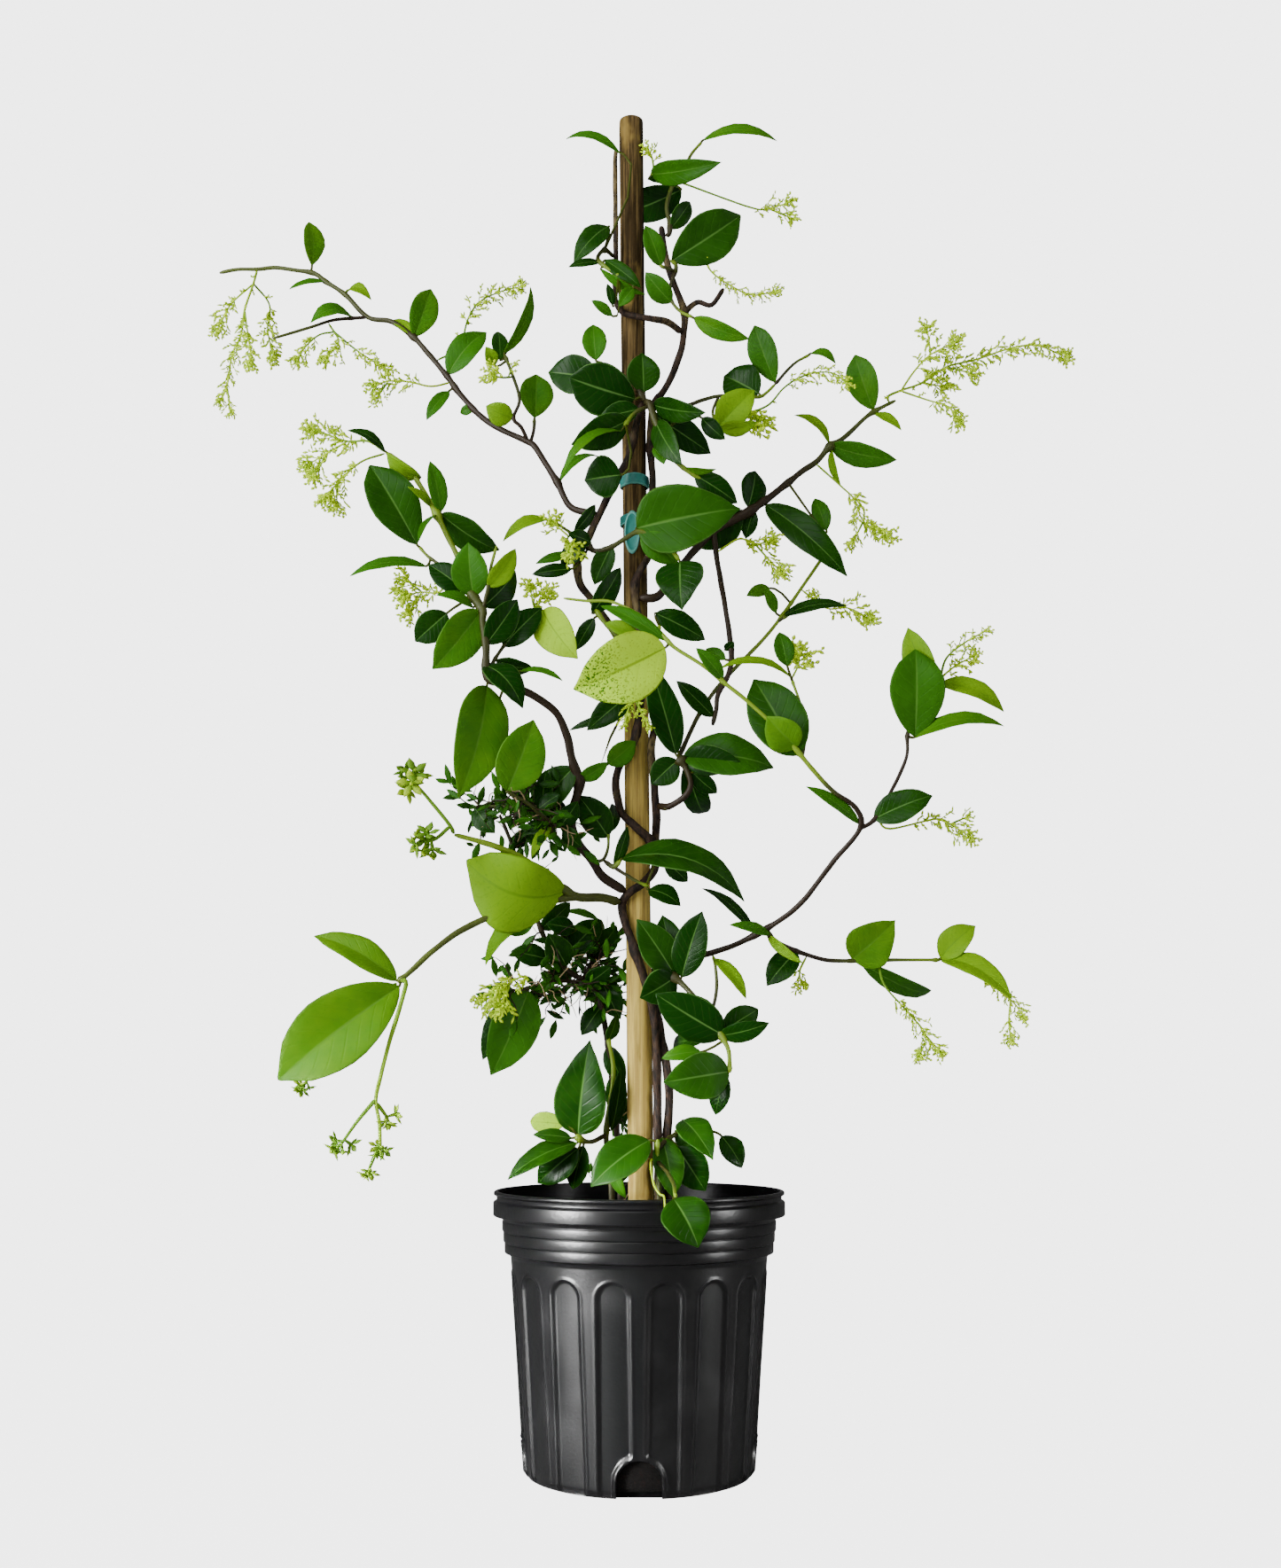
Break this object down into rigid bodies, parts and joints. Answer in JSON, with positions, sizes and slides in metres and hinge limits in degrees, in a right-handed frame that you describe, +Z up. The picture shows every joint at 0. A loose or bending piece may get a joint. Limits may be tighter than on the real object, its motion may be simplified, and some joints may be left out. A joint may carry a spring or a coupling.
{
  "type": "potted star jasmine",
  "caption": "Star jasmine climbing a wooden stake in a black ribbed nursery pot, with leafy side stems and pale lime flower sprays.",
  "frame": {"origin": "on the middle of the pot's flat underside, on the pot's axis", "axes": "+Z up along the pot's axis, -Y towards the viewer of the picture, +X to the viewer's right"},
  "size_m": [0.5395, 0.1818, 0.7957],
  "materials": {
    "pot_plastic": "satin black",
    "potting_soil": "rough crumbly soil",
    "stake_wood": "weathered",
    "tie_tape": "soft tape",
    "vine_bark": "rough bark",
    "leaf_green": "glossy leaf",
    "flower_lime": "soft petals and buds"
  },
  "bodies": {
    "root": {"hanging_thread": "flower_lime", "leafy_stem_base_left": "leaf_green", "leafy_stem_base_right": "leaf_green", "leafy_stem_centre": "leaf_green", "leafy_stem_centre_low": "leaf_green", "leafy_stem_left_arch": "leaf_green", "leafy_stem_left_inner": "leaf_green", "leafy_stem_long_leaf": "leaf_green", "leafy_stem_low_left_core": "leaf_green", "leafy_stem_low_right": "leaf_green", "leafy_stem_lower_left": "leaf_green", "leafy_stem_lower_right": "leaf_green", "leafy_stem_mid_right": "leaf_green", "leafy_stem_right_front": "leaf_green", "leafy_stem_right_small": "leaf_green", "leafy_stem_right_thin": "leaf_green", "leafy_stem_top": "leaf_green", "leafy_stem_top_left": "leaf_green", "leafy_stem_top_right": "leaf_green", "leafy_stem_upper_core": "leaf_green", "leafy_stem_upper_left": "leaf_green", "leafy_stem_upper_right": "leaf_green", "pot": "pot_plastic", "soil": "potting_soil", "spray_centre_catkins": "flower_lime", "spray_centre_left": "flower_lime", "spray_left_arch_low": "flower_lime", "spray_left_arch_tip": "flower_lime", "spray_left_fan": "flower_lime", "spray_left_inner": "flower_lime", "spray_left_mid": "flower_lime", "spray_low_leaf": "flower_lime", "spray_lower_left_hanging": "flower_lime", "spray_lower_left_small": "flower_lime", "spray_lower_left_upper": "flower_lime", "spray_lower_right_first": "flower_lime", "spray_lower_right_inner": "flower_lime", "spray_lower_right_second": "flower_lime", "spray_right_front": "flower_lime", "spray_right_mass": "flower_lime", "spray_right_node": "flower_lime", "spray_right_small": "flower_lime", "spray_right_tip": "flower_lime", "spray_top": "flower_lime", "spray_top_buds": "flower_lime", "spray_top_chain": "flower_lime", "spray_upper_left_low": "flower_lime", "spray_upper_left_tip": "flower_lime", "spray_upper_left_top": "flower_lime", "spray_upper_left_under": "flower_lime", "spray_upper_right_hanging": "flower_lime", "spray_upper_right_inner": "flower_lime", "spray_upper_right_panicle": "flower_lime", "stake": "stake_wood", "tie_lower": "tie_tape", "tie_upper": "tie_tape", "woody_vine_main": "vine_bark", "woody_vine_second": "vine_bark", "woody_vine_upper": "vine_bark"}
  },
  "joints": []
}
